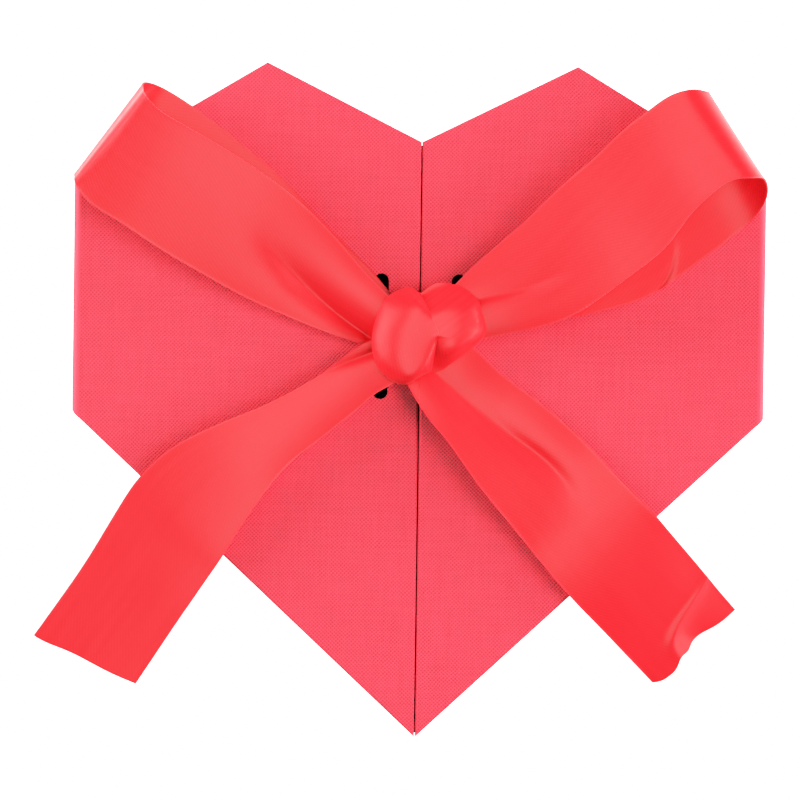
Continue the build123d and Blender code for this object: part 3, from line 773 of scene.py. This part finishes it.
def knot_lobe(side, rings=120, turns=240):
    """A lobe of the knot, closed, as a sector round the pole on the fold. Over its outline the top rises as
    (1 - share ^ power) ^ 0.8 with the share of the way out, and the power grows to the front, so that it is
    squarer there. The crown falls away from a ridge on each lobe and has the fold sunk into it from both
    ends. Under the rim the lobe draws in to a flat foot. The sector's two cut faces stand along the fold."""
    notch, pocket = turn_to(KNOT_NOTCH), turn_to(KNOT_POCKET)
    low, high = (pocket, notch) if side == "right" else (notch, pocket + 360)
    turn = low + (high - low) * (0.5 - 0.5 * np.cos(np.linspace(0, math.pi, turns)))
    reach = knot_reach(turn)
    step = np.linspace(0, 1, rings)[:, None]
    tuck = np.clip((step - KNOT_BRIM) / (1 - KNOT_BRIM), 0, 1)
    under = np.clip(tuck / KNOT_ROUND, 0, 1) * math.pi / 2
    on_top = step <= KNOT_BRIM
    over = np.sin(np.clip(step / KNOT_BRIM, 0, 1) * math.pi / 2)
    share = np.where(on_top, over, KNOT_WAIST + (1 - KNOT_WAIST) * np.cos(under))
    share = share * np.clip((1 - tuck) / (1 - KNOT_ROUND), 0, 1)
    bearing = np.radians(turn)
    x = share * reach * np.cos(bearing) + KNOT_POLE[0]
    y = share * reach * np.sin(bearing) + KNOT_POLE[1]
    power = KNOT_SQUARENESS + KNOT_FRONT_SQUARENESS * np.clip(-np.sin(bearing), 0, 1) ** 2
    line = np.interp(y, *np.asarray([KNOT_POCKET, KNOT_POLE, KNOT_NOTCH], float).T[::-1])
    right = 0.5 + 0.5 * np.tanh((x - line) / KNOT_BLEND)
    crown = (
        KNOT_TOP - fall(x, y, KNOT_RIDGES["left"]) * (1 - right) - fall(x, y, KNOT_RIDGES["right"]) * right
        - fold(x, y, KNOT_NOTCH, *NOTCH_FOLD) - fold(x, y, KNOT_POCKET, *POCKET_FOLD)
    )
    crown = KNOT_RIM + (crown - KNOT_RIM + np.hypot(crown - KNOT_RIM, KNOT_BLEND)) / 2
    dome = KNOT_RIM + (crown - KNOT_RIM) * np.clip(1 - share**power, 0, 1) ** KNOT_DOME
    z = np.where(on_top, dome, KNOT_FOOT + (KNOT_RIM - KNOT_FOOT) * np.cos(under))
    middle = np.radians((low + high) / 2)
    apart = KNOT_PARTING * np.cos(middle), KNOT_PARTING * np.sin(middle)
    points = np.stack([x + apart[0], y + apart[1], z + DOOR_TOP], -1)
    number = np.arange(rings * turns).reshape(rings, turns)
    walls = [number[::-1, 0], number[:, -1]]
    return points.reshape(-1, 3), [*quads(number).tolist(), *(wall.tolist() for wall in walls)], x, y


class HEARTBOX_OT_knot(bpy.types.Operator):
    """Ties the knot over the seam, as a lobe on each door"""
    bl_idname = "heartbox.knot"
    bl_label = "Knot"

    def execute(self, context):
        for side in ("left", "right"):
            vertices, faces, x, y = knot_lobe(side)
            across = (x * KNOT_ACROSS[0] + y * KNOT_ACROSS[1]) + KNOT_HALF_WIDTH
            along = (y * KNOT_ACROSS[0] - x * KNOT_ACROSS[1]) + KNOT_HALF_WIDTH
            across = np.clip(across, KNOT_MARGIN, 2 * KNOT_HALF_WIDTH - KNOT_MARGIN)
            uv = np.stack([across, along], -1).reshape(-1, 2) * MM
            piece = make_piece(side + "_knot", vertices, faces, satin(), uv)
            weld(piece)
            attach(piece, side + "_door")
            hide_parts(side + "_knot_lobe")
        return {"FINISHED"}


def weld(piece):
    """Merges doubled vertices, so that poles and seams are closed, and turns all faces outwards."""
    work = bmesh.new()
    work.from_mesh(piece.data)
    bmesh.ops.remove_doubles(work, verts=work.verts, dist=MERGE_DISTANCE)
    bmesh.ops.recalc_face_normals(work, faces=work.faces)
    work.to_mesh(piece.data)
    work.free()
    piece.data.set_sharp_from_angle(angle=math.radians(WELDED_SHARP_EDGE))


class HEARTBOX_OT_anchors(bpy.types.Operator):
    """Brings each ribbon through its slot and glues its end under the door"""
    bl_idname = "heartbox.anchors"
    bl_label = "Ribbon ends"

    def execute(self, context):
        look = context.scene.heartbox_ribbon
        for side, sign in (("left", -1), ("right", 1)):
            low, high = (np.array(corner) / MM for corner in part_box(side + "_ribbon_anchor"))
            slot_x = min(abs(low[0]), abs(high[0])) + END_IN_SLOT
            tab_x = max(abs(low[0]), abs(high[0]))
            flat = low[2] + END_OVER_BOX
            bend = [(slot_x + out, flat + up) for out, up in END_PATH]
            path = np.array(((tab_x, flat), *bend, (slot_x, high[2] + END_RISE)))
            run = np.concatenate([[0], np.cumsum(np.linalg.norm(np.diff(path, axis=0), axis=1))])
            s = np.linspace(0, run[-1], END_GRID[0])
            line = spline(run, path, s)
            t = np.linspace(0, 1, END_GRID[1])
            rise = np.clip((line[:, 1] - flat - PLEAT_START) / PLEAT_FADE, 0, 1)[:, None]
            pleat = PLEAT_DEPTH * np.sin(t * math.tau * PLEATS)[None, :] * rise
            x = sign * (line[:, :1] + pleat)
            y = np.broadcast_to(low[1] + (high[1] - low[1]) * t[None, :], x.shape)
            z = np.broadcast_to(line[:, 1:], x.shape)
            points = np.stack([x, y, z], -1)
            vertices, faces = shell(points, np.full(points.shape[:2], look.thickness / MM))
            across, along = np.meshgrid(t * look.width / MM, s)
            uv = np.stack([across, along], -1).reshape(-1, 2) * MM
            piece = make_piece(side + "_ribbon_end", vertices, faces, satin(), np.concatenate([uv, uv]))
            weld(piece)
            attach(piece, side + "_door")
            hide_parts(side + "_ribbon_anchor")
        return {"FINISHED"}


def area_light(name, place, target, size, power):
    """A softbox: a rectangle that faces the target and isn't seen by the camera."""
    data = bpy.data.lights.new(name, "AREA")
    data.shape, data.size, data.size_y, data.energy = "RECTANGLE", size[0], size[1], power
    light = bpy.data.objects.new(name, data)
    light.location = place
    light.rotation_mode = "QUATERNION"
    light.rotation_quaternion = (Vector(target) - Vector(place)).to_track_quat("-Z", "Y")
    light.visible_camera = False
    bpy.context.scene.collection.objects.link(light)
    return light


def film_curve(view):
    """Film's soft shoulder: gain * x / (1 + x ^ shoulder) ^ (1 / shoulder), but no more than 1. Dark tones
    stay, and bright ones near white smoothly."""
    view.use_curve_mapping = True
    curves = view.curve_mapping
    curves.white_level = (FILM_BRIGHTEST,) * 3
    curve = curves.curves[3]
    for x in (0.1, 0.2, 0.3, 0.4, 0.5, 0.6, 0.7, 0.8, 0.9, 1.0, 1.2, 1.4, 1.6, 1.8, 2.0, 2.4, 2.8):
        bright = FILM_GAIN * x / (1 + x**FILM_SHOULDER) ** (1 / FILM_SHOULDER)
        curve.points.new(x / FILM_BRIGHTEST, min(1, bright))
    for point in curve.points:
        point.handle_type = "VECTOR"
    curves.update()


class HEARTBOX_OT_stage(bpy.types.Operator):
    """Makes the floor, the studio lights and the camera"""
    bl_idname = "heartbox.stage"
    bl_label = "Studio stage"

    def execute(self, context):
        scene, look = context.scene, context.scene.heartbox_stage
        material, tree, shader = new_material("pale floor")
        spot = tree.nodes.new("ShaderNodeTexCoord").outputs["Object"]
        colour = tuple(look.floor)
        grain = between(tree, noise(tree, spot, NOISE["floor"], 3), 0.3, 0.7, 0.0, 0.03)
        tree.links.new(mixed(tree, grain, colour, shade(colour, 0.9)), shader.inputs["Base Color"])
        shader.inputs["Roughness"].default_value = 0.8
        shader.inputs["Emission Color"].default_value = (1, 1, 1, 1)
        shader.inputs["Emission Strength"].default_value = FLOOR_GLOW
        lines = np.linspace(-FLOOR_HALF, FLOOR_HALF, FLOOR_LINES)
        x, y = np.meshgrid(lines, lines, indexing="ij")
        number = np.arange(x.size).reshape(x.shape)
        vertices = np.stack([x, y, np.full_like(x, FLOOR_LEVEL)], -1).reshape(-1, 3)
        floor = make_piece("floor", vertices, quads(number), material)
        for name, (place, size, share, use) in SOFTBOXES.items():
            box = area_light(name + " softbox", place, SOFTBOX_AIM, size, look.power * share)
            box.visible_glossy = use == "mirrored"
            box.visible_diffuse = use == "lights"
        world = bpy.data.worlds.new("studio room")
        world.use_nodes = True
        world.node_tree.nodes["Background"].inputs["Color"].default_value = (1, 1, 1, 1)
        world.node_tree.nodes["Background"].inputs["Strength"].default_value = look.sky
        world.cycles_visibility.diffuse = False
        world.cycles_visibility.glossy = False
        scene.world = world
        scene.view_settings.view_transform = "Standard"
        film_curve(scene.view_settings)
        data = bpy.data.cameras.new("camera")
        data.sensor_width, data.lens = CAMERA_SENSOR, CAMERA_LENS
        camera = bpy.data.objects.new("camera", data)
        tilt = Matrix.Identity(4)
        for degrees, axis in zip(CAMERA_TURNS, "XYZ"):
            tilt = tilt @ Matrix.Rotation(math.radians(degrees), 4, axis)
        camera.matrix_world = Matrix.Translation(CAMERA_PLACE) @ tilt
        scene.collection.objects.link(camera)
        scene.camera = camera
        return {"FINISHED"}


STEPS = (
    HEARTBOX_OT_papers, HEARTBOX_OT_loops, HEARTBOX_OT_tails, HEARTBOX_OT_knot, HEARTBOX_OT_anchors,
    HEARTBOX_OT_stage,
)


class HEARTBOX_PT_panel(bpy.types.Panel):
    """Shows the settings and the steps that dress the box"""
    bl_idname = "HEARTBOX_PT_panel"
    bl_label = "Heart box"
    bl_space_type = "VIEW_3D"
    bl_region_type = "UI"
    bl_category = "Heart box"

    def draw(self, context):
        for group in GROUPS:
            settings = getattr(context.scene, group)
            for name in settings.__annotations__:
                self.layout.prop(settings, name)
        for step in STEPS:
            self.layout.operator(step.bl_idname)


GROUPS = {
    "heartbox_paper": HEARTBOX_PG_paper,
    "heartbox_ribbon": HEARTBOX_PG_ribbon,
    "heartbox_stage": HEARTBOX_PG_stage,
}


def register():
    """Registers the classes and gives the scene its settings."""
    for kind in (*GROUPS.values(), *STEPS, HEARTBOX_PT_panel):
        bpy.utils.register_class(kind)
    for name, kind in GROUPS.items():
        setattr(bpy.types.Scene, name, PointerProperty(type=kind))


def unregister():
    """Takes the settings and the classes away again."""
    for name in GROUPS:
        delattr(bpy.types.Scene, name)
    for kind in (HEARTBOX_PT_panel, *reversed(STEPS), *reversed(tuple(GROUPS.values()))):
        bpy.utils.unregister_class(kind)


def main():
    """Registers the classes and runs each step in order."""
    register()
    bpy.ops.heartbox.papers()
    bpy.ops.heartbox.loops()
    bpy.ops.heartbox.tails()
    bpy.ops.heartbox.knot()
    bpy.ops.heartbox.anchors()
    bpy.ops.heartbox.stage()
    bpy.context.view_layer.update()


if __name__ == "__main__":
    main()
